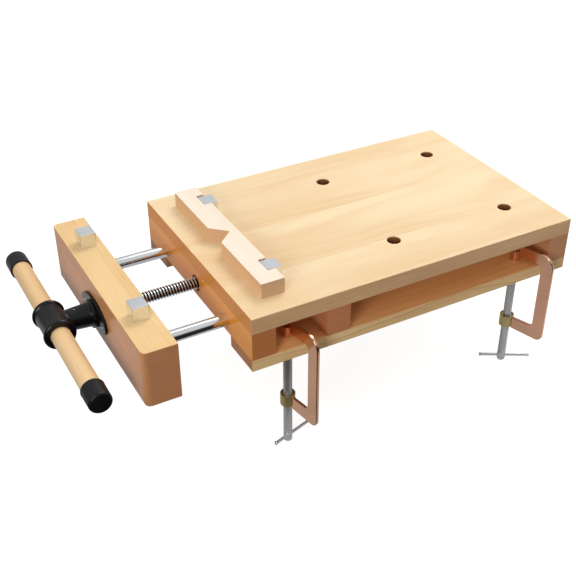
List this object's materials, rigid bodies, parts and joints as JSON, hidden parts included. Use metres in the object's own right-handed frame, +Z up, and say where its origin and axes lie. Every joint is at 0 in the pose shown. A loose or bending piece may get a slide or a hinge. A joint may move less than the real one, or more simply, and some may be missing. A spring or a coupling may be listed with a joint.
{
  "type": "bench-top woodworking workstation with vise",
  "caption": "Clamp-on wooden work station: flat top with dog holes, an end vise with sliding jaw and bar handle, bench dogs, a V stop bar and G-clamps.",
  "frame": {"origin": "middle of the worktop's footprint on the plane of the table under the rails", "axes": "+X from the vise end to the rear end, +Y from the near side (clamps) to the far side, +Z up"},
  "size_m": [0.8605, 0.4469, 0.317],
  "materials": {
    "worktop_wood": "oiled pale beech",
    "block_wood": "lacquered end grain",
    "rail_wood": "lacquered",
    "jaw_wood": "lacquered",
    "stop_wood": "fine sanded",
    "handle_wood": "turned and lacquered",
    "dog_metal": "zinc plated, satin",
    "zinc_steel": "zinc plated",
    "bright_steel": "machined thread",
    "chrome_rod": "polished",
    "dark_iron": "gloss black enamel",
    "black_plastic": "satin",
    "clamp_copper": "satin copper enamel",
    "bush_brass": "dull olive brass"
  },
  "bodies": {
    "bench": {"worktop_slab": "worktop_wood", "front_block": "block_wood", "middle_block": "block_wood", "rear_block": "block_wood", "near_rail": "rail_wood", "far_rail": "rail_wood", "frame_screws": "zinc_steel", "vise_nut": "dark_iron", "nut_screws": "zinc_steel"},
    "jaw": {"moving_jaw": "jaw_wood", "guide_rod_near": "chrome_rod", "guide_rod_far": "chrome_rod", "rod_pins": "zinc_steel", "flange_plate": "dark_iron", "flange_screws": "zinc_steel"},
    "screw": {"vise_screw": "bright_steel", "handle_hub": "dark_iron", "hub_pin": "zinc_steel", "retaining_ring": "zinc_steel"},
    "handle": {"handle_bar": "handle_wood", "handle_cap_near": "black_plastic", "handle_cap_far": "black_plastic"},
    "stop_bar": {"v_stop_bar": "stop_wood"},
    "dog_jaw_near": {"dog_jaw_near": "dog_metal"},
    "dog_jaw_far": {"dog_jaw_far": "dog_metal"},
    "dog_stop_near": {"dog_stop_near": "dog_metal"},
    "dog_stop_far": {"dog_stop_far": "dog_metal"},
    "clamp_front": {"clamp_frame_front": "clamp_copper", "clamp_bush_front": "bush_brass"},
    "clamp_pad_front": {"clamp_pad_front": "zinc_steel"},
    "clamp_screw_front": {"clamp_screw_front": "zinc_steel"},
    "clamp_tommy_front": {"clamp_tommy_front": "zinc_steel"},
    "clamp_rear": {"clamp_frame_rear": "clamp_copper", "clamp_bush_rear": "bush_brass"},
    "clamp_pad_rear": {"clamp_pad_rear": "zinc_steel"},
    "clamp_screw_rear": {"clamp_screw_rear": "zinc_steel"},
    "clamp_tommy_rear": {"clamp_tommy_rear": "zinc_steel"}
  },
  "joints": [
    {"name": "jaw_slide", "type": "slide", "parent": "bench", "child": "jaw", "axis": [1, 0, 0], "range_m": [-0.032, 0.1125]},
    {"name": "vise_screw_turn", "type": "hinge", "parent": "jaw", "child": "screw", "pos_m": [-0.535, 0, 0.043], "axis": [1, 0, 0], "range_deg": [-2310, 8110]},
    {"name": "handle_slide", "type": "slide", "parent": "screw", "child": "handle", "axis": [0, 1, 0], "range_m": [-0.139, 0.139]},
    {"name": "stop_bar_lift", "type": "slide", "parent": "bench", "child": "stop_bar", "axis": [0, 0, 1], "range_m": [0, 0.06]},
    {"name": "dog_jaw_near_lift", "type": "slide", "parent": "jaw", "child": "dog_jaw_near", "axis": [0, 0, 1], "range_m": [0, 0.06]},
    {"name": "dog_jaw_far_lift", "type": "slide", "parent": "jaw", "child": "dog_jaw_far", "axis": [0, 0, 1], "range_m": [0, 0.06]},
    {"name": "dog_stop_near_lift", "type": "slide", "parent": "bench", "child": "dog_stop_near", "axis": [0, 0, 1], "range_m": [0, 0.06]},
    {"name": "dog_stop_far_lift", "type": "slide", "parent": "bench", "child": "dog_stop_far", "axis": [0, 0, 1], "range_m": [0, 0.06]},
    {"name": "clamp_front_along_rail", "type": "slide", "parent": "bench", "child": "clamp_front", "axis": [1, 0, 0], "range_m": [-0.025, 0.036]},
    {"name": "clamp_front_pad_travel", "type": "slide", "parent": "clamp_front", "child": "clamp_pad_front", "axis": [0, 0, 1], "range_m": [-0.08, 0]},
    {"name": "clamp_front_screw_turn", "type": "hinge", "parent": "clamp_pad_front", "child": "clamp_screw_front", "pos_m": [-0.2222, -0.1658, -0.1], "axis": [0, 0, 1], "range_deg": [-9610, 10]},
    {"name": "clamp_front_tommy_slide", "type": "slide", "parent": "clamp_screw_front", "child": "clamp_tommy_front", "axis": [0.9563, 0.2924, 0], "range_m": [-0.049, 0.017]},
    {"name": "clamp_rear_along_rail", "type": "slide", "parent": "bench", "child": "clamp_rear", "axis": [1, 0, 0], "range_m": [-0.33, 0.018]},
    {"name": "clamp_rear_pad_travel", "type": "slide", "parent": "clamp_rear", "child": "clamp_pad_rear", "axis": [0, 0, 1], "range_m": [-0.08, 0]},
    {"name": "clamp_rear_screw_turn", "type": "hinge", "parent": "clamp_pad_rear", "child": "clamp_screw_rear", "pos_m": [0.2223, -0.1633, -0.1], "axis": [0, 0, 1], "range_deg": [-9610, 10]},
    {"name": "clamp_rear_tommy_slide", "type": "slide", "parent": "clamp_screw_rear", "child": "clamp_tommy_rear", "axis": [0.866, -0.5, 0], "range_m": [-0.038, 0.028]}
  ],
  "couplings": [
    {"joint": "vise_screw_turn", "follows": "jaw_slide", "rad_per_m": 1256.6},
    {"joint": "clamp_front_screw_turn", "follows": "clamp_front_pad_travel", "rad_per_m": 2094.4},
    {"joint": "clamp_rear_screw_turn", "follows": "clamp_rear_pad_travel", "rad_per_m": 2094.4}
  ]
}
